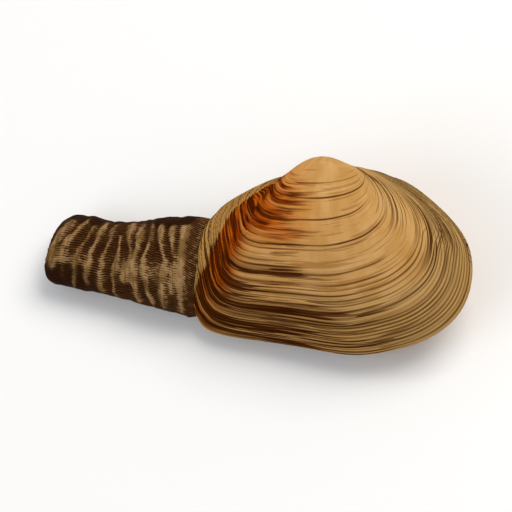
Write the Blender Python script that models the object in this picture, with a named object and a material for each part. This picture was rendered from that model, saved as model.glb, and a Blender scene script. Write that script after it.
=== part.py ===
"""A gaper clam lying on its right valve, with its siphon stretched out behind it.

There are four pieces: left_valve, right_valve, ligament and siphon. They are shaped in
millimetres and become metres when their meshes are made.

Shell frame: the beaks are at the origin, +X runs towards the front end, +Y towards the hinge
and +Z out of the left valve. The valves meet in the plane Z = 0. The finished object lies on
the plane Z = 0 of the world, tipped back on its siphon and rolled a little onto its free edge.
"""

import math

import bmesh
import bpy
import numpy as np
from mathutils import Matrix

MM = 0.001

# Which way a valve bulges from the plane where the two meet.
LEFT = 1.0
RIGHT = -1.0

# Outline of a valve where it meets the other one, from the beak forwards and round.
VALVE_OUTLINE = (
    (-1.5, -2.0), (10.0, -2.2), (21.0, -3.8), (30.6, -10.0), (38.5, -18.8), (40.1, -29.0),
    (36.2, -37.9), (28.2, -43.7), (19.5, -46.4), (8.0, -47.8), (-5.5, -46.0), (-18.0, -44.2),
    (-29.5, -42.4), (-35.0, -37.4), (-31.8, -26.0), (-31.1, -13.6), (-23.0, -6.8), (-12.0, -2.5),
)
OUTLINE_CENTRE = (2.0, -25.0)
OUTLINE_RADII = (36.0, 22.5)

# The young shell was a plain oval. An age of 1 is the full-grown valve.
YOUNG_CENTRE_X = 9.5
YOUNG_TOP_Y = -1.5
YOUNG_RADII = (22.5, 20.0)
YOUNG_UNTIL_AGE = 0.30

# As the shell grew, its mouth turned about the hinge and a little about the valve's own normal.
COIL_RATE = 0.885
COIL_LIMIT = 2.6
COIL_SHARPNESS = 4.0
SWING = math.radians(13.0)

# The right umbo is lower than the left one and a little ahead of it.
RIGHT_UMBO_DROP = 2.5
RIGHT_UMBO_LEAD = 1.3
RIGHT_UMBO_UNTIL_AGE = 0.42

# The hind end gapes round the siphon.
GAPE_HIGH_Y = -11.5
GAPE_LOW_Y = -39.0
GAPE_LIFT = 8.5
GAPE_LATE = 2.5

WALL = 1.5
CLEARANCE = 0.3

VALVE_SIDES = 48
OUTER_RINGS = 20
INNER_RINGS = 7
BEAK_AGE = 0.03
CAVITY_AGE = 0.16

# Stations along the siphon: distance behind the beaks, middle height, half height, half thickness.
SIPHON_STATIONS = (
    (20.0, -25.3, 9.6, 4.6),
    (31.0, -25.3, 12.1, 6.4),
    (37.0, -25.0, 13.0, 8.0),
    (45.0, -23.8, 12.0, 8.4),
    (53.0, -23.2, 10.6, 7.8),
    (61.0, -22.1, 9.7, 7.3),
    (67.0, -20.8, 9.8, 7.1),
    (71.5, -20.2, 9.4, 6.9),
)
SIPHON_RINGS = 18
SIPHON_SIDES = 28
GAPE_X = 31.0
LENS_UNTIL_X = 40.0
RESTS_FROM_X = 58.0
SIPHON_PRESS = 0.5
TIP_ROUNDING = 4.5
TIP_RINGS = 4
TIP_DISH = 2.0
TIP_SLANT = math.tan(math.radians(11.0))
SLANT_FROM_X = 56.0

LIGAMENT_CENTRE = (-5.2, -0.95, 0.0)
LIGAMENT_HALF = (3.6, 0.6, 0.55)
LIGAMENT_SLOPE = math.radians(3.0)

# How the object lies: the front end is up and so is the hinge side.
REST_PITCH = math.radians(6.8)
REST_ROLL = math.radians(20.5)
CONTACT_FLAT = 0.25

SHELL_TAN = (0.50, 0.30, 0.12, 1.0)
LIGAMENT_BROWN = (0.07, 0.035, 0.015, 1.0)
SIPHON_BROWN = (0.16, 0.09, 0.04, 1.0)


def smooth_step(value, start, end):
    """Rise smoothly from 0 at start to 1 at end."""
    t = np.clip((value - start) / (end - start), 0.0, 1.0)
    return t * t * (3.0 - 2.0 * t)


def spline_weights(fraction):
    """Weights of the four control points that a uniform cubic B-spline mixes."""
    f = fraction[:, None]
    return ((1 - f) ** 3 / 6, (3 * f**3 - 6 * f**2 + 4) / 6,
            (-3 * f**3 + 3 * f**2 + 3 * f + 1) / 6, f**3 / 6)


def closed_curve(points, count):
    """Evenly spaced points on the smooth closed curve through the given points."""
    points = np.array(points)
    size = len(points)
    unit = np.eye(size)
    system = (4 * unit + np.roll(unit, 1, axis=0) + np.roll(unit, -1, axis=0)) / 6
    control = np.linalg.solve(system, points)
    place = np.arange(0.0, size, 0.02)
    first = place.astype(int)
    weights = spline_weights(place - first)
    curve = sum(w * control[(first + k - 1) % size] for k, w in enumerate(weights))
    closed = np.vstack([curve, curve[:1]])
    length = np.concatenate([[0.0], np.cumsum(np.hypot(*np.diff(closed, axis=0).T))])
    wanted = np.linspace(0.0, length[-1], count, endpoint=False)
    return np.column_stack([np.interp(wanted, length, closed[:, axis]) for axis in (0, 1)])


def young_outline(outline):
    """The oval that the young shell had, point by point beside the full-grown outline."""
    angle = np.arctan2((outline[:, 1] - OUTLINE_CENTRE[1]) / OUTLINE_RADII[1],
                       (outline[:, 0] - OUTLINE_CENTRE[0]) / OUTLINE_RADII[0])
    return np.column_stack([
        YOUNG_CENTRE_X + YOUNG_RADII[0] * np.cos(angle),
        YOUNG_TOP_Y - YOUNG_RADII[1] + YOUNG_RADII[1] * np.sin(angle),
    ])


def growth_rings(side, ages, inset):
    """Rings of points, one for each age, on the outside (inset 0) or the inside of a valve."""
    outline = closed_curve(VALVE_OUTLINE, VALVE_SIDES)
    young = young_outline(outline)
    middle = np.array(OUTLINE_CENTRE)
    across = np.clip((outline[:, 1] - GAPE_LOW_Y) / (GAPE_HIGH_Y - GAPE_LOW_Y), 0.0, 1.0)
    gape = np.where(outline[:, 0] < 0.0, np.sin(math.pi * across), 0.0) * (GAPE_LIFT - inset)
    rings = []
    for age in ages:
        youth = math.exp(-(age / YOUNG_UNTIL_AGE) ** 2)
        mouth = outline * (1.0 - youth) + young * youth
        mouth = middle + (mouth - middle) * (1.0 - inset / (OUTLINE_RADII[1] * age))
        swing = SWING * (1.0 - age)
        x = age * (mouth[:, 0] * math.cos(swing) - mouth[:, 1] * math.sin(swing))
        y = age * (mouth[:, 0] * math.sin(swing) + mouth[:, 1] * math.cos(swing))
        z = gape * age**GAPE_LATE
        turned = math.log(1.0 / age) / COIL_RATE
        turned /= (1.0 + (turned / COIL_LIMIT) ** COIL_SHARPNESS) ** (1.0 / COIL_SHARPNESS)
        lower = math.exp(-(age / RIGHT_UMBO_UNTIL_AGE) ** 2) if side == RIGHT else 0.0
        rings.append(np.column_stack([
            x + RIGHT_UMBO_LEAD * lower,
            y * math.cos(turned) + z * math.sin(turned) - RIGHT_UMBO_DROP * lower,
            side * (z * math.cos(turned) - y * math.sin(turned) + CLEARANCE / 2),
        ]))
    return rings


def valve_rings(side):
    """All rings of a valve, from the beak over the outside to the edge and back inside."""
    outer_ages = BEAK_AGE + (1.0 - BEAK_AGE) * np.linspace(0.0, 1.0, OUTER_RINGS) ** 1.2
    inner_ages = np.linspace(1.0, CAVITY_AGE, INNER_RINGS)
    return growth_rings(side, outer_ages, 0.0) + growth_rings(side, inner_ages, WALL)


def laid_down(points):
    """Points of the shell frame as the object lies on the table, before it is lowered to it."""
    x, y, z = np.asarray(points).T
    up = y * math.sin(REST_ROLL) + z * math.cos(REST_ROLL)
    return np.column_stack([
        x * math.cos(REST_PITCH) - up * math.sin(REST_PITCH),
        y * math.cos(REST_ROLL) - z * math.sin(REST_ROLL),
        x * math.sin(REST_PITCH) + up * math.cos(REST_PITCH),
    ])


def siphon_rings(table):
    """Rings of the siphon, from its end inside the shell to its tip, over a table at this height."""
    stations = np.array(SIPHON_STATIONS)
    tip_angles = np.linspace(0.0, math.pi / 2, TIP_RINGS + 1)[1:]
    body = np.linspace(stations[0, 0], stations[-1, 0], SIPHON_RINGS)
    tip = stations[-1, 0] + TIP_ROUNDING * np.sin(tip_angles)
    drawn_in = np.concatenate([np.zeros(SIPHON_RINGS), TIP_ROUNDING * (1.0 - np.cos(tip_angles))])
    angle = np.linspace(0.0, 2 * math.pi, SIPHON_SIDES, endpoint=False)
    rings = []
    for behind, less in zip(np.concatenate([body, tip]), drawn_in):
        middle, half_height, half_thick = (
            np.interp(behind, stations[:, 0], stations[:, k]) for k in (1, 2, 3))
        half_height -= less
        half_thick -= less
        lens = 1.0 - smooth_step(behind, GAPE_X, LENS_UNTIL_X)
        flat = np.sin(angle)
        pointed = np.sign(flat) * np.cos(math.pi / 2 * np.cos(angle))
        high = half_height * np.cos(angle)
        thick = half_thick * (pointed * lens + flat * (1.0 - lens))
        centre = laid_down([(-behind, middle, 0.0)])[0]
        rests = smooth_step(behind, GAPE_X, RESTS_FROM_X)
        centre[2] += rests * (table + half_thick + less - SIPHON_PRESS - centre[2])
        roll = REST_ROLL * (1.0 - rests)
        slant = TIP_SLANT * smooth_step(behind, SLANT_FROM_X, stations[-1, 0])
        rings.append(np.column_stack([
            centre[0] + slant * high,
            centre[1] + high * math.cos(roll) - thick * math.sin(roll),
            centre[2] + high * math.sin(roll) + thick * math.cos(roll),
        ]))
    return rings


def skin(rings, first_cap, last_cap):
    """A closed mesh over the rings, with a fan from each end's own middle point."""
    bm = bmesh.new()
    loops = [[bm.verts.new(point) for point in ring] for ring in rings]
    sides = len(loops[0])
    for loop, following in zip(loops, loops[1:]):
        for k in range(sides):
            after = (k + 1) % sides
            bm.faces.new((loop[k], loop[after], following[after], following[k]))
    for loop, point in ((loops[0], first_cap), (loops[-1], last_cap)):
        middle = bm.verts.new(point)
        for k in range(sides):
            bm.faces.new((loop[k], loop[(k + 1) % sides], middle))
    bmesh.ops.recalc_face_normals(bm, faces=bm.faces)
    return bm


def ligament_pad():
    """The low rounded pad in the groove behind the beaks, in the shell frame."""
    bm = bmesh.new()
    place = (Matrix.Translation(LIGAMENT_CENTRE) @ Matrix.Rotation(LIGAMENT_SLOPE, 4, "Z")
             @ Matrix.Diagonal((*LIGAMENT_HALF, 1.0)) @ Matrix.Rotation(math.pi / 2, 4, "Y"))
    bmesh.ops.create_uvsphere(bm, u_segments=12, v_segments=8, radius=1.0, matrix=place)
    return bm


def finish(name, colour, roughness):
    """A plain material with the piece's own colour."""
    material = bpy.data.materials.new(name)
    material.use_nodes = True
    shader = material.node_tree.nodes["Principled BSDF"]
    shader.inputs["Base Color"].default_value = colour
    shader.inputs["Roughness"].default_value = roughness
    shader.inputs["Metallic"].default_value = 0.0
    return material


def add_piece(name, bm, material):
    """Make the named object from a mesh that is already in metres, in its place."""
    mesh = bpy.data.meshes.new(name)
    bm.to_mesh(mesh)
    bm.free()
    mesh.shade_smooth()
    mesh.set_sharp_from_angle(angle=math.radians(50.0))
    mesh.materials.append(material)
    piece = bpy.data.objects.new(name, mesh)
    bpy.context.scene.collection.objects.link(piece)
    return piece


def lower_to_table(bm, offset):
    """Move a mesh by the offset, press what reaches below the table flat, and make it metres."""
    for vert in bm.verts:
        x, y, z = vert.co
        vert.co = ((x + offset[0]) * MM, (y + offset[1]) * MM, max(z + offset[2], 0.0) * MM)


def main():
    """Build the four pieces and lay them on the world's ground plane."""
    for old in list(bpy.data.objects):
        bpy.data.objects.remove(old)

    left = [laid_down(ring) for ring in valve_rings(LEFT)]
    right = [laid_down(ring) for ring in valve_rings(RIGHT)]
    table = min(ring[:, 2].min() for ring in right) + CONTACT_FLAT
    siphon = siphon_rings(table)
    inner_end = siphon[0].mean(axis=0)
    tip = siphon[-1].mean(axis=0) + (TIP_DISH, 0.0, 0.0)

    points = np.vstack(left + right + siphon)
    middle = (points.min(axis=0) + points.max(axis=0)) / 2
    offset = (-middle[0], -middle[1], -table)

    ligament = ligament_pad()
    for vert in ligament.verts:
        vert.co = laid_down([vert.co])[0]

    shell_finish = finish("shell", SHELL_TAN, 0.45)
    pieces = (
        ("left_valve", skin(left, left[0].mean(axis=0), left[-1].mean(axis=0)), shell_finish),
        ("right_valve", skin(right, right[0].mean(axis=0), right[-1].mean(axis=0)), shell_finish),
        ("ligament", ligament, finish("ligament", LIGAMENT_BROWN, 0.55)),
        ("siphon", skin(siphon, inner_end, tip), finish("siphon", SIPHON_BROWN, 0.7)),
    )
    for name, bm, material in pieces:
        lower_to_table(bm, offset)
        add_piece(name, bm, material)


main()
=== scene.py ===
"""A gaper clam in a plain studio: two grown valves, the horny pad behind the beaks and a wrinkled siphon."""

import logging
import math
from collections.abc import Iterable, Sequence
from dataclasses import dataclass, field
from enum import Enum

import bpy
import numpy as np
from mathutils import Matrix, Vector


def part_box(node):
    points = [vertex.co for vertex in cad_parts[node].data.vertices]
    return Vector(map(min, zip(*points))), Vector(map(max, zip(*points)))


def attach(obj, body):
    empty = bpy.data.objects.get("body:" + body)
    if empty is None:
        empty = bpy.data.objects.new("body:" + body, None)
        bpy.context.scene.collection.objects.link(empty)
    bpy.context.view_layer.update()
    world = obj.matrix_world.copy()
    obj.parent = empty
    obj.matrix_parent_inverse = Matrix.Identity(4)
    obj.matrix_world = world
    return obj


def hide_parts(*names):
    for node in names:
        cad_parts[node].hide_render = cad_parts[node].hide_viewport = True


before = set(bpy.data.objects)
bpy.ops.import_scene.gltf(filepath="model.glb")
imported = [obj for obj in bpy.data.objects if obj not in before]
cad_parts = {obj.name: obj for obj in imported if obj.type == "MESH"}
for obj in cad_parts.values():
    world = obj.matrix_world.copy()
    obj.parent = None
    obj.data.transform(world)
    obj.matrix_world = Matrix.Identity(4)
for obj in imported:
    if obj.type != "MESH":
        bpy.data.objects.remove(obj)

MM = 0.001
TURN = 2 * math.pi
LOG = logging.getLogger("clam")

Grid = np.ndarray
Colour = tuple[float, float, float]
Socket = bpy.types.NodeSocket
Feed = Socket | float | tuple[float, ...]


class Side(Enum):
    """The clam's left or right half; the value mirrors the shell across its seam."""

    LEFT = 1.0
    RIGHT = -1.0


class Tissue(Enum):
    """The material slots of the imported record."""

    SHELL = "shell"
    LIGAMENT = "ligament"
    SIPHON = "siphon"


# ---------------------------------------------------------------- shared arithmetic


def rise(value: Grid | float, low: float, high: float) -> Grid:
    """Climb smoothly from 0 at low to 1 at high.

    Args:
        value: Numbers to judge.
        low: Where the climb starts.
        high: Where it ends.

    Returns:
        Weights from 0 to 1, in the shape of value.
    """
    part = np.clip((np.asarray(value, float) - low) / (high - low), 0.0, 1.0)
    return part * part * (3.0 - 2.0 * part)


def fall(value: Grid | float, low: float, high: float) -> Grid:
    """Sink smoothly from 1 at low to 0 at high."""
    return 1.0 - rise(value, low, high)


def spline_weights(part: Grid) -> tuple[Grid, Grid, Grid, Grid]:
    """Weigh the four control points that a uniform cubic B-spline mixes.

    Args:
        part: How far along its segment each point lies, from 0 to 1.

    Returns:
        One weight array per control point.
    """
    return ((1 - part) ** 3 / 6, (3 * part**3 - 6 * part**2 + 4) / 6,
            (-3 * part**3 + 3 * part**2 + 3 * part + 1) / 6, part**3 / 6)


def closed_curve(points: Sequence[Sequence[float]], count: int) -> Grid:
    """Space points evenly on the smooth closed curve through the given ones.

    Args:
        points: Corners that the curve passes through, in order.
        count: How many points to return.

    Returns:
        An array of count rows, x and y.
    """
    corners = np.array(points, float)
    size = len(corners)
    unit = np.eye(size)
    system = (4 * unit + np.roll(unit, 1, axis=0) + np.roll(unit, -1, axis=0)) / 6
    control = np.linalg.solve(system, corners)
    place = np.arange(0.0, size, 0.01)
    first = place.astype(int)
    weights = spline_weights((place - first)[:, None])
    curve = sum(w * control[(first + k - 1) % size] for k, w in enumerate(weights))
    closed = np.vstack([curve, curve[:1]])
    length = np.concatenate([[0.0], np.cumsum(np.hypot(*np.diff(closed, axis=0).T))])
    wanted = np.linspace(0.0, length[-1], count, endpoint=False)
    return np.column_stack([np.interp(wanted, length, closed[:, axis]) for axis in (0, 1)])


def outward(rings: Grid) -> Grid:
    """Find the unit normals of a surface of closed rings.

    Args:
        rings: Points, one row of rings and one column of sides, with x, y and z.

    Returns:
        Normals that point away from the middle of the surface's rings.
    """
    along = np.gradient(rings, axis=0)
    around = np.roll(rings, -1, axis=1) - np.roll(rings, 1, axis=1)
    normals = np.cross(around, along)
    normals /= np.linalg.norm(normals, axis=2, keepdims=True) + 1e-12
    middle = len(rings) // 2
    away = rings[middle] - rings[middle].mean(axis=0)
    return normals if (normals[middle] * away).sum() > 0.0 else -normals


@dataclass(frozen=True)
class Drift:
    """Slow random variation over a skin of rings, the same each time it is asked for.

    Attributes:
        seed: Which variation this is.
        cells_around: How many changes go round a ring.
        cells_along: How many changes lie between the first ring and the last.
        swing: Reach of the random values, past 1 since smoothing weakens them.
    """

    seed: int
    cells_around: int
    cells_along: int
    swing: float = 1.7

    def over(self, along: Grid, around: Grid) -> Grid:
        """Read the variation.

        Args:
            along: Place between the ends, from 0 to 1.
            around: Place round the ring, in turns; it closes on itself.

        Returns:
            Values from about -1 to 1, in the shape that the two places share.
        """
        cells = (self.cells_along + 4, self.cells_around)
        lattice = np.random.default_rng(self.seed).uniform(-self.swing, self.swing, cells)
        row = np.clip(along, 0.0, 1.0) * self.cells_along
        column = (around % 1.0) * self.cells_around
        first_row = row.astype(int)
        first_column = column.astype(int)
        down = spline_weights(row - first_row)
        across = spline_weights(column - first_column)
        return sum(down[i] * across[j] * lattice[first_row + i, (first_column + j) % self.cells_around]
                   for i in range(4) for j in range(4))

    def round_ring(self, around: Grid) -> Grid:
        """Read the variation round the first ring."""
        return self.over(np.zeros_like(around), around)


# ---------------------------------------------------------------- how the clam is shaped and laid down


@dataclass(frozen=True)
class GrowthLaw:
    """How a valve grows, in millimetres round its beak.

    The ring of one age is the shell's mouth at that age, turned up about the hinge line
    by the growth that followed. Age 1 is the full-grown edge.

    Attributes:
        outline: The full-grown edge, seen square to the seam.
        centre: Middle from which places round the edge are told.
        radii: Half the edge's length and height.
        young_centre_x: Middle of the young, round shell.
        young_top_y: Its hinge side.
        young_radii: Half its length and height.
        young_until: Age by which its roundness has mostly gone.
        coil_rate: Logarithm of how much a valve grows in one radian of its coil.
        coil_limit: The furthest that the beak turns in, in radians.
        coil_sharpness: How suddenly the coil reaches that limit.
        swing: Turn of the mouth in its own plane over the whole growth.
        gape_high: Hinge side of the gape for the siphon.
        gape_low: Its free side.
        gape_lift: How far it lifts the edge off the seam.
        gape_late: How late in the growth it opens.
        clearance: Space between the two valves' edges.
        right_umbo_drop: How much lower the right umbo stands.
        right_umbo_lead: How much further ahead it stands.
        right_umbo_until: Age by which the right valve has caught up.
    """

    outline: tuple[tuple[float, float], ...] = (
        (-1.5, -2.0), (10.0, -2.2), (21.0, -3.8), (30.6, -10.0), (38.5, -18.8), (40.1, -29.0),
        (36.2, -37.9), (28.2, -43.7), (19.5, -46.4), (8.0, -47.8), (-5.5, -46.0), (-18.0, -44.2),
        (-29.5, -42.4), (-35.0, -37.4), (-31.8, -26.0), (-31.1, -13.6), (-23.0, -6.8), (-12.0, -2.5),
    )
    centre: tuple[float, float] = (2.0, -25.0)
    radii: tuple[float, float] = (36.0, 22.5)
    young_centre_x: float = 9.5
    young_top_y: float = -1.5
    young_radii: tuple[float, float] = (22.5, 20.0)
    young_until: float = 0.30
    coil_rate: float = 0.885
    coil_limit: float = 2.6
    coil_sharpness: float = 4.0
    swing: float = math.radians(13.0)
    gape_high: float = -11.5
    gape_low: float = -39.0
    gape_lift: float = 8.5
    gape_late: float = 2.5
    clearance: float = 0.3
    right_umbo_drop: float = 2.5
    right_umbo_lead: float = 1.3
    right_umbo_until: float = 0.42

    @property
    def nearest(self) -> float:
        """How near to the seam a valve comes."""
        return 0.4 * self.clearance

    def surface(self, side: Side, ages: Grid, inset: Grid | float, sides: int) -> Grid:
        """Lay out the rings of a valve.

        Args:
            side: Which valve it is; the right one's umbo is lower and a little ahead.
            ages: Age of each point, one row a ring, with one column or one for each side.
            inset: How far inside the outer face each point lies, in millimetres.
            sides: How many points a ring has.

        Returns:
            Points as rings by sides by x, y and z.
        """
        grown = closed_curve(self.outline, sides)
        from_middle = (grown - self.centre) / self.radii
        angle = np.arctan2(from_middle[:, 1], from_middle[:, 0])
        young_x = self.young_centre_x + self.young_radii[0] * np.cos(angle)
        young_y = self.young_top_y - self.young_radii[1] + self.young_radii[1] * np.sin(angle)
        across = np.clip((grown[:, 1] - self.gape_low) / (self.gape_high - self.gape_low), 0.0, 1.0)
        gape = np.where(grown[:, 0] < 0.0, np.sin(math.pi * across), 0.0) * (self.gape_lift - inset)
        youth = np.exp(-(ages / self.young_until) ** 2)
        drawn_in = 1.0 - inset / (self.radii[1] * ages)
        mouth_x = self.centre[0] + (grown[:, 0] * (1 - youth) + young_x * youth - self.centre[0]) * drawn_in
        mouth_y = self.centre[1] + (grown[:, 1] * (1 - youth) + young_y * youth - self.centre[1]) * drawn_in
        swing = self.swing * (1.0 - ages)
        x = ages * (mouth_x * np.cos(swing) - mouth_y * np.sin(swing))
        y = ages * (mouth_x * np.sin(swing) + mouth_y * np.cos(swing))
        z = gape * ages**self.gape_late
        turned = np.log(1.0 / ages) / self.coil_rate
        held_back = 1.0 + (turned / self.coil_limit) ** self.coil_sharpness
        turned = turned / held_back ** (1.0 / self.coil_sharpness)
        lower = np.exp(-(ages / self.right_umbo_until) ** 2) * (side is Side.RIGHT)
        out = z * np.cos(turned) - y * np.sin(turned) + self.clearance / 2
        return np.stack([
            x + 0.0 * z + self.right_umbo_lead * lower,
            y * np.cos(turned) + z * np.sin(turned) - self.right_umbo_drop * lower,
            np.maximum(out, self.nearest) * side.value,
        ], axis=-1)


@dataclass
class Repose:
    """How the clam lies on its table: the front end a little up and the hinge side up.

    Attributes:
        pitch: Lift of the front end.
        roll: Lift of the hinge side.
        shift: Move from the laid-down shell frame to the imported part's place, in millimetres.
    """

    pitch: float = math.radians(6.8)
    roll: float = math.radians(20.5)
    shift: Grid = field(default_factory=lambda: np.zeros(3))

    @property
    def table(self) -> float:
        """Height of the table in the laid-down shell frame."""
        return -float(self.shift[2])

    def lay(self, points: Grid) -> Grid:
        """Turn points of the shell frame as the clam lies, without moving them to their place.

        Args:
            points: Any array whose last axis is x, y and z.

        Returns:
            The turned points, in the same shape.
        """
        x, y, z = np.moveaxis(np.asarray(points, float), -1, 0)
        up = y * math.sin(self.roll) + z * math.cos(self.roll)
        return np.stack([
            x * math.cos(self.pitch) - up * math.sin(self.pitch),
            y * math.cos(self.roll) - z * math.sin(self.roll),
            x * math.sin(self.pitch) + up * math.cos(self.pitch),
        ], axis=-1)

    def settle(self, law: GrowthLaw, node: str) -> None:
        """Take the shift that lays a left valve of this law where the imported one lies.

        Args:
            law: How the valve grows.
            node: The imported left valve.
        """
        ages = np.linspace(0.03, 1.0, 120)[:, None]
        valve = self.lay(law.surface(Side.LEFT, ages, 0.0, 96)).reshape(-1, 3)
        low, high = (np.array(corner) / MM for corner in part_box(node))
        self.shift = (low + high) / 2 - (valve.min(axis=0) + valve.max(axis=0)) / 2

    def place(self, laid: Grid) -> Grid:
        """Move laid-down points to their place, in metres, and press flat what would lie under the table."""
        moved = laid + self.shift
        return np.concatenate([moved[..., :2], np.maximum(moved[..., 2:], 0.0)], axis=-1) * MM

    def direction(self, vector: Iterable[float]) -> Vector:
        """Turn a direction of the shell frame as the clam lies."""
        return Vector(self.lay(np.array(tuple(vector))))


# ---------------------------------------------------------------- mixing finishes


@dataclass(frozen=True)
class Grain:
    """A cloudy variation in a finish.

    Attributes:
        changes: How often it changes in a millimetre, along each axis.
        detail: How many finer layers it has.
        rough: How strong each finer layer is.
    """

    changes: tuple[float, float, float]
    detail: float = 2.0
    rough: float = 0.5


class Recipe:
    """A finish being mixed from shader nodes."""

    def __init__(self, name: str) -> None:
        """Start an empty finish.

        Args:
            name: The finish's name.
        """
        self.material = bpy.data.materials.new(name)
        self.material.use_nodes = True
        self.nodes = self.material.node_tree.nodes
        self.links = self.material.node_tree.links
        self.shader = self.nodes["Principled BSDF"]

    def feed(self, socket: Socket, value: Feed) -> None:
        """Link or set one input.

        Args:
            socket: The input.
            value: An output to link, or a number, vector or colour to set.
        """
        if isinstance(value, bpy.types.NodeSocket):
            self.links.new(value, socket)
        elif isinstance(value, tuple) and len(value) == 3 and socket.type == "RGBA":
            socket.default_value = (*value, 1.0)
        else:
            socket.default_value = value

    def set(self, **inputs: Feed) -> None:
        """Feed the surface shader, with its inputs' names in lower case and underscores."""
        for name, value in inputs.items():
            self.feed(self.shader.inputs[name.replace("_", " ").title().replace("Ior", "IOR")], value)

    def read(self, layer: str, vector: bool = False) -> Socket:
        """Read a layer that the mesh carries.

        Args:
            layer: The layer's name.
            vector: Whether it holds vectors and not numbers.

        Returns:
            The layer's output.
        """
        node = self.nodes.new("ShaderNodeAttribute")
        node.attribute_name = layer
        return node.outputs["Vector" if vector else "Fac"]

    def work(self, operation: str, first: Feed, second: Feed) -> Socket:
        """Do arithmetic on two numbers.

        Args:
            operation: Name of the arithmetic.
            first: First number.
            second: Second number.

        Returns:
            The answer.
        """
        node = self.nodes.new("ShaderNodeMath")
        node.operation = operation
        self.feed(node.inputs[0], first)
        self.feed(node.inputs[1], second)
        return node.outputs[0]

    def plus(self, first: Feed, second: Feed) -> Socket:
        """Add two numbers."""
        return self.work("ADD", first, second)

    def minus(self, first: Feed, second: Feed) -> Socket:
        """Take the second number from the first."""
        return self.work("SUBTRACT", first, second)

    def times(self, first: Feed, second: Feed) -> Socket:
        """Multiply two numbers."""
        return self.work("MULTIPLY", first, second)

    def noise(self, place: Socket, grain: Grain) -> Socket:
        """Make cloudy variation.

        Args:
            place: Where to read it, in millimetres.
            grain: How coarse and how rough it is.

        Returns:
            Values round 0.5.
        """
        stretched = self.nodes.new("ShaderNodeVectorMath")
        stretched.operation = "MULTIPLY"
        self.feed(stretched.inputs[0], place)
        self.feed(stretched.inputs[1], grain.changes)
        node = self.nodes.new("ShaderNodeTexNoise")
        self.feed(node.inputs["Vector"], stretched.outputs[0])
        self.feed(node.inputs["Scale"], 1.0)
        self.feed(node.inputs["Detail"], grain.detail)
        self.feed(node.inputs["Roughness"], grain.rough)
        return node.outputs["Fac"]

    def ramp(self, value: Feed, low: float, high: float, start: float = 0.0, end: float = 1.0) -> Socket:
        """Turn a range of values smoothly into another.

        Args:
            value: The value.
            low: Where the range starts.
            high: Where it ends.
            start: The answer at low.
            end: The answer at high.

        Returns:
            The answer, which stays between start and end.
        """
        node = self.nodes.new("ShaderNodeMapRange")
        node.interpolation_type = "SMOOTHSTEP"
        for index, fed in enumerate((value, low, high, start, end)):
            self.feed(node.inputs[index], fed)
        return node.outputs[0]

    def tint(self, share: Feed, under: Feed, over: Feed) -> Socket:
        """Lay one colour over another.

        Args:
            share: How much of the upper colour shows, from 0 to 1.
            under: The lower colour.
            over: The upper colour.

        Returns:
            The mixed colour.
        """
        node = self.nodes.new("ShaderNodeMix")
        node.data_type = "RGBA"
        self.feed(node.inputs[0], share)
        self.feed(node.inputs[6], under)
        self.feed(node.inputs[7], over)
        return node.outputs[2]

    def emboss(self, height: Socket, depth: float, under: Socket | None = None) -> Socket:
        """Turn height into a bent normal.

        Args:
            height: The height, from 0 to 1.
            depth: What a height of 1 stands for, in metres.
            under: A normal to start from.

        Returns:
            The normal.
        """
        node = self.nodes.new("ShaderNodeBump")
        self.feed(node.inputs["Strength"], 1.0)
        self.feed(node.inputs["Distance"], depth)
        self.feed(node.inputs["Height"], height)
        if under is not None:
            self.feed(node.inputs["Normal"], under)
        return node.outputs["Normal"]


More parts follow.
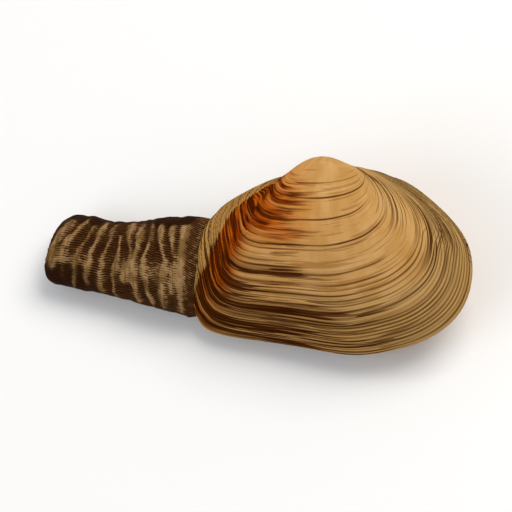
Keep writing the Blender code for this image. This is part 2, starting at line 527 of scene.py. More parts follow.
@dataclass(frozen=True)
class OuterFinish:
    """The outside of a valve: tan lime with growth lines, rust stain, an olive edge and painted shade in
    front of the beak.

    Attributes:
        tan: Most of the shell; gold and cream are its clouds and bands.
        olive: The edge; a dark grey-brown over the crescent in front of the beak is painted shade.
        copper: The wash round the rust; amber borders the lines.
        straw: The strip between the rust and the hinge.
        rust: The stain behind the umbo, with ember bands in it.
        umber: Streaks and fine strokes; ink is the rest lines' own colour and the painted shadow's beside the
            beak.
        cloud: Soft blotches.
        broad: Wide bands along the growth.
        streak: Narrower bands.
        thread: Fine streaks, about two to a millimetre.
        hair: The finest ones, about three to a millimetre.
        speck: Small grains.
        raggedness: How far the streaks pull the rust's border about.
        relief: Height of the streaks, in metres.
        speckle: Height of the grains, in metres.
    """

    name: str = "shell_outside"
    tan: Colour = (0.580, 0.325, 0.114)
    gold: Colour = (0.500, 0.262, 0.075)
    cream: Colour = (0.650, 0.395, 0.163)
    olive: Colour = (0.450, 0.288, 0.098)
    # dark grey-brown laid over the crescent as painted shade
    shade_brown: Colour = (0.170, 0.092, 0.032)
    copper: Colour = (0.560, 0.205, 0.030)
    amber: Colour = (0.340, 0.125, 0.022)
    straw: Colour = (0.550, 0.302, 0.084)
    rust: Colour = (0.270, 0.040, 0.001)
    ember: Colour = (0.460, 0.090, 0.004)
    umber: Colour = (0.058, 0.009, 0.001)
    ink: Colour = (0.026, 0.007, 0.0005)
    cloud: Grain = Grain((0.10, 0.10, 0.12), 3.0, 0.55)
    broad: Grain = Grain((0.040, 0.040, 0.28), 1.5)
    streak: Grain = Grain((0.022, 0.022, 0.85), 1.5)
    thread: Grain = Grain((0.040, 0.040, 1.9), 1.5)
    hair: Grain = Grain((0.050, 0.050, 2.8), 1.0)
    speck: Grain = Grain((1.6, 1.6, 2.4), 2.0, 0.6)
    raggedness: float = 2.6
    relief: float = 0.00022
    speckle: float = 0.00004

    def lime(self, pot: Recipe, noises: dict[str, Socket]) -> Socket:
        """Mix the plain shell, its bands, its olive edge and the amber borders of its lines.

        Args:
            pot: The finish being mixed.
            noises: Its noises along the growth, by name.

        Returns:
            The colour.
        """
        cloud = pot.noise(pot.read("growth", vector=True), self.cloud)
        colour = pot.tint(pot.ramp(cloud, 0.36, 0.66), self.tan, self.gold)
        colour = pot.tint(pot.ramp(noises["broad"], 0.48, 0.70, end=0.45), colour, self.cream)
        bands = pot.times(pot.ramp(noises["thread"], 0.56, 0.62, end=0.42), pot.read("banded"))
        colour = pot.tint(bands, colour, self.amber)
        # olive: the shell's own colour near the edge; over the crescent and the crease it is painted shade
        edge = pot.times(pot.read("olive"), pot.ramp(noises["streak"], 0.30, 0.62, 0.60, 1.0))
        colour = pot.tint(edge, colour, self.olive)
        # painted shade: dark grey-brown over the crescent in front of the beak
        crescent_shaded = pot.times(pot.read("crescent_shade"), pot.ramp(noises["broad"], 0.42, 0.56, 0.45, 0.95))
        colour = pot.tint(crescent_shaded, colour, self.shade_brown)
        # the line layer also holds the painted shadow beside the beak, which gets the same amber border
        return pot.tint(pot.ramp(pot.read("line"), 0.02, 0.50, end=0.55), colour, self.amber)

    def stain(self, pot: Recipe, noises: dict[str, Socket], colour: Socket) -> Socket:
        """Lay the rust with its wash, the dark bands and the straw strip over the shell.

        Args:
            pot: The finish being mixed.
            noises: Its noises along the growth, by name.
            colour: The plain shell's colour.

        Returns:
            The colour.
        """
        colour = pot.tint(pot.times(pot.read("wash"), 0.56), colour, self.copper)
        rust, deep, strip = (pot.read(layer) for layer in ("rust", "deep", "strip"))
        fibre = pot.plus(pot.times(noises["streak"], 0.55), pot.times(noises["thread"], 0.45))
        uneven = pot.times(pot.minus(fibre, 0.5), self.raggedness)
        fine = pot.plus(pot.times(fibre, 0.60), pot.times(noises["hair"], 0.40))

        stained = pot.tint(pot.ramp(noises["broad"], 0.44, 0.60), self.rust, self.ember)
        stained = pot.tint(pot.ramp(fine, 0.495, 0.550, end=0.74), stained, self.umber)
        ragged = pot.ramp(pot.plus(rust, uneven), 0.16, 0.94)
        colour = pot.tint(pot.times(ragged, pot.ramp(rust, 0.02, 0.35)), colour, stained)
        dark = pot.ramp(pot.plus(fine, pot.times(deep, 0.12)), 0.56, 0.61, end=0.92)
        colour = pot.tint(pot.times(dark, pot.ramp(deep, 0.02, 0.25)), colour, self.umber)
        ragged = pot.ramp(pot.minus(strip, uneven), 0.30, 0.70, end=0.88)
        return pot.tint(pot.times(ragged, pot.ramp(strip, 0.02, 0.30)), colour, self.straw)

    def mix(self) -> bpy.types.Material:
        """Mix the finish.

        Returns:
            The material; its mesh carries the layers that it reads.
        """
        pot = Recipe(self.name)
        growth = pot.read("growth", vector=True)
        noises = {name: pot.noise(growth, grain) for name, grain in (
            ("broad", self.broad), ("streak", self.streak), ("thread", self.thread), ("hair", self.hair))}
        colour = self.stain(pot, noises, self.lime(pot, noises))
        for name, low, high, layer in (("thread", 0.570, 0.605, "dashed"), ("hair", 0.550, 0.585, "hairy")):
            strokes = pot.times(pot.ramp(noises[name], low, high, end=0.92), pot.read(layer))
            colour = pot.tint(strokes, colour, self.umber)
        # ink over the rest lines and over the painted shadow beside the beak
        colour = pot.tint(pot.read("line"), colour, self.ink)

        height = pot.plus(pot.times(noises["thread"], 0.6), pot.times(noises["hair"], 0.4))
        speckled = pot.emboss(pot.noise(growth, self.speck), self.speckle)
        pot.set(base_color=colour, metallic=0.0, specular_ior_level=0.0,
                roughness=pot.ramp(noises["streak"], 0.2, 0.8, 0.46, 0.64),
                normal=pot.emboss(height, self.relief, speckled))
        return pot.material


@dataclass(frozen=True)
class InnerFinish:
    """The inside and lip of a valve: smooth chalky white lime with a warm cast."""

    name: str = "shell_inside"
    white: Colour = (0.78, 0.70, 0.58)
    warm: Colour = (0.66, 0.50, 0.33)
    cloud: Grain = Grain((0.06, 0.06, 0.2), 3.0)
    fine: Grain = Grain((0.1, 0.1, 2.0))
    relief: float = 0.00008

    def mix(self) -> bpy.types.Material:
        """Mix the finish.

        Returns:
            The material; its mesh carries the growth layer.
        """
        pot = Recipe(self.name)
        growth = pot.read("growth", vector=True)
        fine = pot.noise(growth, self.fine)
        colour = pot.tint(pot.ramp(pot.noise(growth, self.cloud), 0.35, 0.7), self.white, self.warm)
        pot.set(base_color=colour, metallic=0.0, specular_ior_level=0.3,
                roughness=pot.ramp(fine, 0.3, 0.7, 0.32, 0.46), normal=pot.emboss(fine, self.relief))
        return pot.material


@dataclass(frozen=True)
class SkinFinish:
    """The siphon's wrinkled skin: khaki folds, dark brown furrows painted as shade, and fine lines along it.

    Attributes:
        khaki: The folds, with sand clouds.
        brown: The furrows, where it is painted shade, and the wrinkles; russet is a cast over the clouds.
        dark: The fine lines and the painted shade along the hinge side, by the tip and in its openings.
        cloud: Soft blotches.
        grain: Small grains, which fray the folds' borders.
        wrinkle: Fine wrinkles round the siphon.
        shiver: How the fine lines waver.
        half_gap: Half the space between two fine lines, in millimetres.
        relief: Height of the grains and lines, in metres.
    """

    name: str = "siphon_skin"
    khaki: Colour = (0.195, 0.105, 0.034)
    sand: Colour = (0.390, 0.240, 0.105)
    brown: Colour = (0.100, 0.042, 0.011)
    dark: Colour = (0.022, 0.006, 0.001)
    russet: Colour = (0.130, 0.038, 0.008)
    cloud: Grain = Grain((0.26, 0.20, 0.20), 3.0, 0.55)
    grain: Grain = Grain((0.8, 1.3, 1.3), 2.0, 0.6)
    wrinkle: Grain = Grain((1.2, 0.14, 0.14))
    shiver: Grain = Grain((0.25, 0.5, 0.5))
    half_gap: float = 0.32
    relief: float = 0.00025

    def mix(self) -> bpy.types.Material:
        """Mix the finish.

        Returns:
            The material; its mesh carries the layers that it reads.
        """
        pot = Recipe(self.name)
        reach = pot.read("reach", vector=True)
        cloud, grain, wrinkle, shiver = (
            pot.noise(reach, kind) for kind in (self.cloud, self.grain, self.wrinkle, self.shiver))
        wavering = pot.plus(pot.read("girth"), pot.times(shiver, 0.5))
        comb = pot.times(pot.work("PINGPONG", wavering, self.half_gap), 1.0 / self.half_gap)
        ragged = pot.plus(pot.read("fold"), pot.times(pot.minus(grain, 0.5), 1.2))
        stroke = pot.minus(comb, pot.plus(pot.times(ragged, 0.90), 0.13))

        colour = pot.tint(pot.ramp(cloud, 0.40, 0.60), self.khaki, self.sand)
        # painted shade: darker brown down in the furrows
        colour = pot.tint(pot.ramp(ragged, 0.70, 0.25), colour, self.brown)
        colour = pot.tint(pot.ramp(wrinkle, 0.53, 0.62, end=0.60), colour, self.brown)
        colour = pot.tint(pot.ramp(cloud, 0.50, 0.64, end=0.35), colour, self.russet)
        # fine dark lines along the siphon, mostly in the furrows: partly the skin's striae, partly painted
        # shade
        colour = pot.tint(pot.ramp(stroke, -0.04, 0.10, end=0.92), colour, self.dark)
        # painted shade from the shade layer, frayed by the fine lines and a little lighter on the fold crests
        shade = pot.read("shade")
        frayed = pot.plus(shade, pot.times(pot.minus(pot.plus(comb, grain), 1.0), 0.50))
        shaded = pot.times(pot.ramp(frayed, 0.30, 0.66, end=0.88), pot.ramp(shade, 0.02, 0.20))
        colour = pot.tint(pot.times(shaded, pot.ramp(ragged, 0.45, 1.05, 1.0, 0.62)), colour, self.dark)

        height = pot.minus(pot.times(grain, 0.6), pot.ramp(stroke, -0.1, 0.4, end=0.4))
        pot.set(base_color=colour, metallic=0.0, specular_ior_level=0.02,
                roughness=pot.ramp(grain, 0.3, 0.7, 0.58, 0.80), normal=pot.emboss(height, self.relief))
        return pot.material


@dataclass(frozen=True)
class HornFinish:
    """The pad behind the beaks: dark brown horn with fine fibres."""

    name: str = "ligament_horn"
    brown: Colour = (0.085, 0.040, 0.015)
    black: Colour = (0.020, 0.010, 0.005)
    fibre: Grain = Grain((4.0, 0.6, 0.6))
    relief: float = 0.00012

    def mix(self) -> bpy.types.Material:
        """Mix the finish.

        Returns:
            The material; its mesh carries the reach layer.
        """
        pot = Recipe(self.name)
        fibre = pot.noise(pot.read("reach", vector=True), self.fibre)
        colour = pot.tint(pot.ramp(fibre, 0.35, 0.65), self.brown, self.black)
        pot.set(base_color=colour, metallic=0.0, specular_ior_level=0.15,
                roughness=pot.ramp(fibre, 0.3, 0.7, 0.35, 0.55), normal=pot.emboss(fibre, self.relief))
        return pot.material


@dataclass(frozen=True)
class FloorFinish:
    """The studio's plain pale floor."""

    name: str = "floor_paper"
    paper: Colour = (0.93, 0.93, 0.925)

    def mix(self) -> bpy.types.Material:
        """Mix the finish.

        Returns:
            The material.
        """
        pot = Recipe(self.name)
        pot.set(base_color=self.paper, metallic=0.0, roughness=0.9, specular_ior_level=0.1)
        return pot.material


# ---------------------------------------------------------------- skins of rings


@dataclass
class Skin:
    """A closed skin over rings of points, with the layers that its finish reads.

    Attributes:
        name: The piece's name.
        rings: Points in metres, as rings by sides by x, y and z.
        layers: Numbers or vectors for each point, by layer name.
        inner_from: The ring from which faces take the second finish.
    """

    name: str
    rings: Grid
    layers: dict[str, Grid]
    inner_from: int | None = None

    def faces(self, flip: bool) -> tuple[list[tuple[int, ...]], list[int]]:
        """List the faces, quads between rings and a fan at each end.

        Args:
            flip: Whether each face turns the other way.

        Returns:
            The faces, and the finish that each takes.
        """
        count, sides = self.rings.shape[:2]
        here = np.arange(count * sides).reshape(count, sides)
        after = np.roll(here, -1, axis=1)
        quads = np.stack([here[:-1], after[:-1], after[1:], here[1:]], axis=-1).reshape(-1, 4)
        first_cap = np.stack([after[0], here[0], np.full(sides, count * sides)], axis=-1)
        last_cap = np.stack([here[-1], after[-1], np.full(sides, count * sides + 1)], axis=-1)
        groups = [quads, first_cap, last_cap]
        if flip:
            groups = [group[:, ::-1] for group in groups]
        inner = len(quads) if self.inner_from is None else self.inner_from * sides
        slots = np.zeros(len(quads) + 2 * sides, int)
        slots[inner:len(quads)] = 1
        slots[len(quads) + sides:] = 0 if self.inner_from is None else 1
        return [tuple(face) for group in groups for face in group.tolist()], slots.tolist()

    def make(self, finishes: Sequence[bpy.types.Material], flip: bool) -> bpy.types.Object:
        """Make the object.

        Args:
            finishes: One material, or one for the outside and one for the inside.
            flip: Whether each face turns the other way.

        Returns:
            The object, linked to the scene.
        """
        mesh = bpy.data.meshes.new(self.name)
        faces, slots = self.faces(flip)
        ends = [self.rings[0].mean(axis=0), self.rings[-1].mean(axis=0)]
        mesh.from_pydata(np.vstack([self.rings.reshape(-1, 3), ends]).tolist(), [], faces)
        mesh.shade_smooth()
        for finish in finishes:
            mesh.materials.append(finish)
        mesh.polygons.foreach_set("material_index", slots)
        for name, values in self.layers.items():
            vector = values.ndim == 3
            layer = mesh.attributes.new(name, "FLOAT_VECTOR" if vector else "FLOAT", "POINT")
            caps = [values[end].mean(axis=0).ravel() for end in (0, -1)]
            flat = np.concatenate([values.ravel(), *caps])
            layer.data.foreach_set("vector" if vector else "value", flat.astype(np.float32))
        mesh.validate()
        piece = bpy.data.objects.new(self.name, mesh)
        bpy.context.scene.collection.objects.link(piece)
        return piece


def settle_piece(piece: bpy.types.Object, node: str) -> None:
    """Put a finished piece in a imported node's stead.

    Args:
        piece: The piece.
        node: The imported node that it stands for.
    """
    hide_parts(node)
    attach(piece, "root")
    LOG.info("%s stands for %s: %d faces", piece.name, node, len(piece.data.polygons))


# ---------------------------------------------------------------- the valves


@dataclass(frozen=True)
class RestLine:
    """A line where growth stopped for a while: a lip, a groove beyond it and dark skin in the groove.

    Attributes:
        age: When it formed.
        depth: Height of the lip, in millimetres.
        ink: How dark it is, from 0 to 1.
        start: Where it fades in, in turns from the beak forwards round the edge.
        end: Where it fades out.
        width: Half width of the dark skin, in millimetres.
        spread: How much wider it is at the hind end, in millimetres.
    """

    age: float
    depth: float
    ink: float
    start: float
    end: float
    width: float = 0.13
    spread: float = 0.0


@dataclass(frozen=True)
class Places:
    """Where the points of a valve's outside are.

    Attributes:
        turn: Place round the ring, from the beak forwards, as 0 to 1.
        law_age: Age of the growth there.
        drawn: Age of the drawn line through it.
        blotch: A slow variation over the shell, round 0.
    """

    turn: Grid
    law_age: Grid
    drawn: Grid
    blotch: Grid


@dataclass(frozen=True)
class Markings:
    """Where the colours of a valve's outside lie.

    Each pair of numbers says between which two turns or ages a colour comes in or fades out.

    Attributes:
        strip_edge: Turn, and the age from which the pale strip under the hinge lies there.
        crest: Age, and the turn of the ridge behind which the strip lies.
        bands: Age, half width and first turn of each dark band behind the middle.
        hind_end: Turns where the stains end behind the beak.
        lined: Ages where fine strokes start.
        late: Ages where the strokes near the edge start.
    """

    strip_edge: tuple[tuple[float, float], ...] = (
        (0.74, 1.05), (0.76, 0.93), (0.79, 0.85), (0.81, 0.79), (0.83, 0.75),
        (0.85, 0.69), (0.87, 0.60), (0.90, 0.48), (0.95, 0.30),
    )
    crest: tuple[tuple[float, float], ...] = (
        (0.30, 0.775), (0.36, 0.800), (0.42, 0.832), (0.50, 0.856), (0.60, 0.872),
    )
    bands: tuple[tuple[float, float, float], ...] = (
        (0.667, 0.012, 0.47), (0.725, 0.022, 0.56), (0.825, 0.022, 0.44),
        (0.915, 0.022, 0.46), (0.965, 0.016, 0.42),
    )
    hind_end: tuple[float, float] = (0.94, 0.98)
    lined: tuple[float, float] = (0.28, 0.36)
    late: tuple[float, float] = (0.68, 0.80)

    def crescent(self, at: Places) -> Grid:
        """Find the darker crescent in front of the beak."""
        return fall(at.turn, 0.235, 0.275) * rise(at.turn, 0.02, 0.08) * rise(at.law_age, 0.30, 0.50)

    def crease(self, at: Places) -> Grid:
        """Find the narrow crease where the crescent meets the rounded front."""
        return rise(at.turn, 0.230, 0.258) * fall(at.turn, 0.275, 0.345)

    def calm(self, at: Places) -> Grid:
        """Find the plain ground close in front of the beak."""
        return fall(at.turn, 0.210, 0.255) * fall(at.law_age, 0.46, 0.66)

    def sparse(self, at: Places) -> Grid:
        """Find the front part of the edge, where strokes are fewer."""
        return fall(at.turn, 0.36, 0.47) * rise(at.drawn, *self.late)

    def strip(self, at: Places) -> Grid:
        """Find the pale strip under the hinge.

        Args:
            at: Where the points are.

        Returns:
            From 0 outside it to 1 inside.
        """
        start = np.interp(at.turn, *np.array(self.strip_edge).T)
        late = rise(at.law_age - start + 0.015 * at.blotch, -0.08, 0.08)
        crest = np.interp(at.law_age, *np.array(self.crest).T)
        behind = rise(at.turn - crest + 0.004 * at.blotch, -0.024, 0.024) * rise(at.law_age, 0.26, 0.34)
        return np.maximum(late, behind)

    def stains(self, at: Places) -> dict[str, Grid]:
        """Find the rust stain behind the umbo, the wash round it and the dark bands.

        Args:
            at: Where the points are.

        Returns:
            The three layers.
        """
        front = 0.63 - 0.030 * rise(at.drawn, 0.30, 0.50)
        rust = rise(at.turn, front - 0.20, front + 0.16) * fall(at.turn, *self.hind_end)
        rust = rust * rise(at.drawn + 0.015 * at.blotch, 0.255, 0.375)
        rust = rust * (1.0 - 0.80 * fall(at.turn, 0.655, 0.730) * rise(at.drawn, 0.49, 0.60))
        rust = rust * (1.0 - 0.45 * rise(at.drawn, 0.72, 0.90))
        wash = rise(at.turn, 0.48, 0.68) * fall(at.turn, *self.hind_end)
        wash = wash * rise(at.drawn, 0.17, 0.31) * fall(at.drawn, 0.45, 0.66)
        bend = rise(at.turn, 0.67, 0.76) * fall(at.turn, 0.88, 0.94)
        bands = sum(np.exp(-((at.drawn - age) / half) ** 4) * rise(at.turn, start, start + 0.12)
                    for age, half, start in self.bands)
        bands = bands * fall(at.turn, 0.76, 0.84)
        return {
            "rust": np.clip(rust * (1.0 + 0.12 * at.blotch), 0.0, 1.0),
            "wash": np.maximum(0.9 * wash, rise(rust, 0.02, 0.45)),
            "deep": np.clip(0.85 * bend * rise(at.drawn, 0.29, 0.34) + 1.3 * bands, 0.0, 1.4),
        }

    def coats(self, at: Places, strip: Grid, rust: Grid) -> dict[str, Grid]:
        """Find the olive coat near the edge, and the painted shade over the crescent in front.

        Args:
            at: Where the points are.
            strip: The pale strip.
            rust: The rust stain.

        Returns:
            The two layers.
        """
        crescent = self.crescent(at)
        olive = 0.66 * rise(at.drawn, 0.70, 0.90) * rise(at.law_age, 0.30, 0.60) * (1.0 - 0.8 * strip)
        # the share over the crescent and the crease is painted shade; near the edge the olive is the shell's
        # own
        olive = np.clip(olive + 0.42 * crescent + 0.30 * self.crease(at), 0.0, 1.0)
        # painted shade over the crescent, patchy and strongest round the growth of age 0.8
        shade_patches = 0.6 * at.blotch + 1.2 * np.exp(-((at.law_age - 0.80) / 0.10) ** 2)
        return {"olive": olive * (1.0 - 0.6 * rust), "crescent_shade": crescent * (0.20 + 0.50 * rise(shade_patches, 0.2, 1.2))}

    def strokes(self, at: Places, strip: Grid) -> dict[str, Grid]:
        """Find how thickly the fine strokes lie.

        Args:
            at: Where the points are.
            strip: The pale strip.

        Returns:
            The layers of the short dashes, of the hairlines and of the faint bands.
        """
        crescent, sparse, marked = self.crescent(at), self.sparse(at), 1.0 - self.calm(at)
        creased = self.crease(at) * rise(at.drawn, 0.42, 0.55) * fall(at.drawn, 0.80, 0.90)
        hind = rise(at.turn, 0.50, 0.70) * fall(at.turn, 0.97, 1.0)
        lined = rise(at.drawn, *self.lined)
        dashed = 0.12 + 0.25 * creased + 0.50 * crescent + 0.70 * hind
        dashed = dashed + 0.30 * rise(at.drawn, *self.late) - 0.30 * sparse
        hairy = rise(at.drawn, 0.70, 0.82) - 0.7 * sparse + 0.85 * crescent + 0.85 * strip + 0.9 * creased
        return {
            "dashed": np.clip(dashed * lined * marked, 0.0, 1.0),
            "hairy": marked * np.clip(hairy, 0.0, 1.0),
            "banded": lined * marked,
        }

    def line(self, at: Places, strip: Grid, ink: Grid) -> Grid:
        """Fade the rest lines where they are faint, and add the shadow beside the beak.

        Args:
            at: Where the points are.
            strip: The pale strip.
            ink: Darkness of the lines.

        Returns:
            The lines' layer.
        """
        # painted shadow: a thin dark line where the umbo overhangs, beside the beak
        shadow = 0.8 * np.exp(-((at.turn - 0.262) / 0.007) ** 2)
        shadow = shadow * rise(at.law_age, 0.20, 0.25) * fall(at.law_age, 0.36, 0.46)
        return np.maximum(ink * (1.0 - 0.5 * strip) * (1.0 - 0.12 * self.sparse(at)), shadow)

    def layers(self, at: Places, ink: Grid) -> dict[str, Grid]:
        """Gather every layer of the outside's colours.

        Args:
            at: Where the points are.
            ink: Darkness of the lines.

        Returns:
            The layers by name.
        """
        strip = self.strip(at)
        stains = self.stains(at)
        coats = self.coats(at, strip, stains["rust"])
        line = self.line(at, strip, ink)
        return {"strip": strip, **stains, **coats, **self.strokes(at, strip), "line": line}


@dataclass
class Valve:
    """One half of the shell, in millimetres until it is placed.

    Attributes:
        side: Which half it is.
        law: How it grows.
        repose: How it lies.
        node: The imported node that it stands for.
        seed: Start of its own irregularities.
        sides: Points round each ring.
        even_rings: Rings that are spread evenly, besides those at the lines.
        wall: Thickness of the shell.
        span: Way over the shell from the beak to the free edge.
        beak_age: Age of the first ring.
        edge_age: Age at which the lip starts.
        cavity_age: Age down to which the inside reaches.
        inner_rings: Rings inside, beyond the lip.
        lip: Age of each ring of the lip, and how far inside the shell's face it lies.
        line_steps: Where the rings that carry a line lie, off the line's age.
        front_turns: Age of a line, and where round the ring it turns up to the beak in front.
        hind_lean: Place round the ring, and how much older than its line the shell is there, for a young
            and for an old line.
        lean_limit: How far the mesh's rings follow the lean.
        wander: How far the lines wander.
        run_on: How much the lines age in one turn, where they run on to the beak in front.
        rest_lines: The separate lines, from the beak out.
        edge_lines: How many crowded lines there are near the edge.
        edge_from: Age of the first of them.
        edge_to: Age of the last.
        noise_reach: Radius of the round on which the finish reads its noise.
        noise_shift: How far each step of the seed moves that round.
        markings: Where the colours lie.
    """

    side: Side
    law: GrowthLaw
    repose: Repose
    node: str
    seed: int
    sides: int = 360
    even_rings: int = 62
    wall: float = 1.5
    span: float = 55.0
    beak_age: float = 0.02
    edge_age: float = 0.9965
    cavity_age: float = 0.16
    inner_rings: int = 16
    lip: tuple[tuple[float, float], ...] = (
        (0.9985, 0.08), (1.0, 0.35), (1.0, 0.75), (1.0, 1.15), (0.9985, 1.42),
    )
    line_steps: tuple[float, ...] = (-0.0045, -0.0017, 0.0006, 0.0029, 0.0056)
    front_turns: tuple[tuple[float, float], ...] = (
        (0.30, 0.265), (0.38, 0.285), (0.46, 0.318), (0.50, 0.322), (0.57, 0.305),
        (0.68, 0.275), (0.76, 0.268), (0.84, 0.253), (0.93, 0.225), (1.00, 0.190),
    )
    hind_lean: tuple[tuple[float, float, float], ...] = (
        (0.60, 0.000, 0.000), (0.65, -0.008, -0.005), (0.68, -0.018, -0.011), (0.70, -0.028, -0.014),
        (0.72, -0.026, 0.005), (0.75, -0.008, 0.055), (0.775, 0.010, 0.095), (0.80, 0.028, 0.125),
        (0.825, 0.060, 0.160), (0.85, 0.120, 0.215), (0.87, 0.200, 0.310), (0.89, 0.300, 0.420),
        (0.93, 0.520, 0.600),
    )
    lean_limit: float = 0.10
    wander: float = 0.0045
    run_on: float = 2.2
    rest_lines: tuple[RestLine, ...] = (
        RestLine(0.262, 0.02, 0.55, 0.49, 0.66),
        RestLine(0.293, 0.02, 0.35, 0.27, 0.40),
        RestLine(0.322, 0.06, 0.75, 0.29, 0.66),
        RestLine(0.352, 0.03, 0.40, 0.28, 0.40),
        RestLine(0.380, 0.10, 1.00, 0.26, 0.84, 0.13),
        RestLine(0.421, 0.05, 0.75, 0.50, 0.82),
        RestLine(0.440, 0.04, 0.60, 0.56, 0.82),
        RestLine(0.459, 0.08, 1.00, 0.31, 0.84, 0.14),
        RestLine(0.482, 0.03, 0.55, 0.55, 0.82),
        RestLine(0.506, 0.04, 0.50, 0.52, 0.84),
        RestLine(0.554, 0.12, 1.00, 0.30, 0.86, 0.16),
        RestLine(0.570, 0.05, 0.80, 0.36, 0.84, 0.15),
        RestLine(0.592, 0.03, 0.55, 0.56, 0.84),
        RestLine(0.614, 0.04, 0.60, 0.56, 0.84, 0.16, 0.12),
        RestLine(0.636, 0.06, 0.80, 0.52, 0.86, 0.16, 0.14),
        RestLine(0.659, 0.10, 1.00, 0.34, 0.88, 0.18, 0.28),
        RestLine(0.678, 0.04, 0.60, 0.44, 0.86),
        RestLine(0.702, 0.12, 1.00, 0.36, 0.88, 0.18, 0.34),
        RestLine(0.722, 0.05, 0.75, 0.27, 0.86),
        RestLine(0.742, 0.07, 0.90, 0.24, 0.88, 0.17, 0.14),
        RestLine(0.762, 0.05, 0.70, 0.25, 0.86),
        RestLine(0.783, 0.06, 0.80, 0.22, 0.88, 0.16, 0.14),
    )
    edge_lines: int = 14
    edge_from: float = 0.806
    edge_to: float = 0.984
    noise_reach: float = 32.0
    noise_shift: float = 7.0
    markings: Markings = Markings()

    def lines(self) -> list[RestLine]:
        """Add the crowded lines near the edge to the rest lines.

        Returns:
            All the lines, from the beak out.
        """
        chance = np.random.default_rng(self.seed + 5)
        ages = np.linspace(self.edge_from, self.edge_to, self.edge_lines)
        ages += chance.uniform(-0.0022, 0.0022, self.edge_lines)
        crowded = [RestLine(
            age=float(age), depth=float(chance.uniform(0.04, 0.13)), ink=float(chance.uniform(0.75, 1.0)),
            start=float(chance.uniform(0.10, 0.25)), end=float(chance.uniform(0.90, 0.98)), width=0.18,
            spread=float(chance.uniform(0.0, 0.30))) for age in ages]
        return [*self.rest_lines, *crowded]

    def ring_ages(self) -> Grid:
        """Choose the rings' ages, close together at each line.

        Returns:
            The ages, from the beak to the edge.
        """
        ages = np.array([line.age for line in self.lines()])
        close = np.concatenate([ages + step for step in self.line_steps])
        close = close[close < self.edge_age - 0.002]
        even = np.linspace(self.beak_age, self.edge_age, self.even_rings)
        apart = np.abs(even[:, None] - close[None]).min(axis=1) > 0.0030
        apart[[0, -1]] = True
        return np.sort(np.concatenate([even[apart], close]))

    def bent_rings(self, lines: Grid, turn: Grid) -> Grid:
        """Follow the drawn lines round: in front they turn up to the beak, behind they run out to the edge.

        Args:
            lines: Age at which each line crosses the valve's middle, one row each.
            turn: Place round the ring.

        Returns:
            How old the shell is along each line.
        """
        turning = np.interp(lines, *np.array(self.front_turns).T)
        front = -0.05 * np.exp(np.minimum((turning - turn) / 0.035, 4.0))
        front = front * rise(lines, 0.16, 0.30) * fall(turn, 0.36, 0.44)
        places, young, old = np.array(self.hind_lean).T
        mature = rise(lines, 0.36, 0.57)
        hind = np.interp(turn, places, young) * (1.0 - mature) + np.interp(turn, places, old) * mature
        return lines + front + hind * rise(lines, 0.08, 0.36)

    def law_ages(self, age: Grid, turn: Grid) -> Grid:
        """Lay the mesh's rings along the drawn lines where those run evenly, and along the growth elsewhere.

        Args:
            age: Age of each line, one row each.
            turn: Place round the ring.

        Returns:
            Ages of the growth law.
        """
        lean = self.lean_limit * np.tanh((self.bent_rings(age, turn) - age) / self.lean_limit)
        lean = lean * rise(turn, 0.25, 0.29) * fall(turn, 0.74, 0.79) * fall(age, 0.90, 0.99)
        wander = self.wander * Drift(self.seed, 11, 14).over(age, turn)
        wander = wander * rise(age, 0.15, 0.3) * fall(age, 0.88, 0.98)
        return np.clip(age + lean + wander, self.beak_age, self.edge_age)

    def drawn_ages(self, law_age: Grid, turn: Grid) -> Grid:
        """Say which drawn line runs through each place.

        In front, beyond the last line, the answer runs on past 1 towards the beak.

        Args:
            law_age: How old the shell is at each place.
            turn: Place round the ring.

        Returns:
            Age at which the line there crosses the valve's middle.
        """
        lines = np.linspace(0.0, 1.0, 201)[:, None]
        rings = np.maximum(self.bent_rings(lines, turn), np.minimum(lines, 0.22 + 0.1 * lines))
        rings = np.maximum.accumulate(rings, axis=0) + 1e-4 * lines
        drawn = np.stack([np.interp(law_age[:, column], rings[:, column], lines[:, 0])
                          for column in range(turn.shape[1])], axis=-1)
        run_out = (drawn > 0.985) & (turn < 0.30)
        drawn = drawn + self.run_on * np.cumsum(run_out[:, ::-1], axis=1)[:, ::-1] / turn.shape[1]
        return drawn + (law_age - drawn) * rise(turn, 0.925, 0.965)

    def line_strength(self, line: RestLine, turn: Grid, number: int) -> Grid:
        """Say how strong a line is round the ring.

        Args:
            line: The line.
            turn: Place round the ring.
            number: The line's number, which gives it breaks of its own.

        Returns:
            From 0 where it is gone to 1.
        """
        broken = 0.80 + 0.45 * Drift(self.seed + 40 + number, 19, 1).round_ring(turn)
        end = min(line.end, 0.77) if line.age < self.edge_from else line.end
        drawn = rise(turn, line.start, line.start + 0.07) * fall(turn, end - 0.08, end)
        return np.clip(broken, 0.0, 1.0) * drawn

    def relief(self, age: Grid, turn: Grid) -> tuple[Grid, Grid]:
        """Raise the growth lips and swells.

        Args:
            age: Age of each ring, one row each.
            turn: Place round the ring.

        Returns:
            Height over the smooth shell in millimetres, and the darkness of the lines.
        """
        law_age = self.law_ages(age, turn)
        stretch = np.clip(np.gradient(law_age, axis=0) / np.gradient(age, axis=0), 0.1, 1.0)
        height = 0.16 * Drift(self.seed + 1, 7, 22).over(age, turn)
        height = height + 0.05 * Drift(self.seed + 2, 23, 70).over(age, turn)
        height = height * rise(age, 0.18, 0.42)
        ink = np.zeros(law_age.shape)
        for number, line in enumerate(self.lines()):
            strength = self.line_strength(line, turn, number)
            away = (age - line.age) * self.span
            lip = np.where(away < 0.0, np.exp(away / 0.7), -np.exp(-away / 0.9))
            height = height + line.depth * (0.25 + 0.75 * strength) * lip
            width = line.width + line.spread * rise(turn, 0.42, 0.62)
            ink = np.maximum(ink, line.ink * strength * np.exp(-((away - 0.03) / width) ** 2))
        return height * stretch * fall(age, 0.975, 0.9965), ink

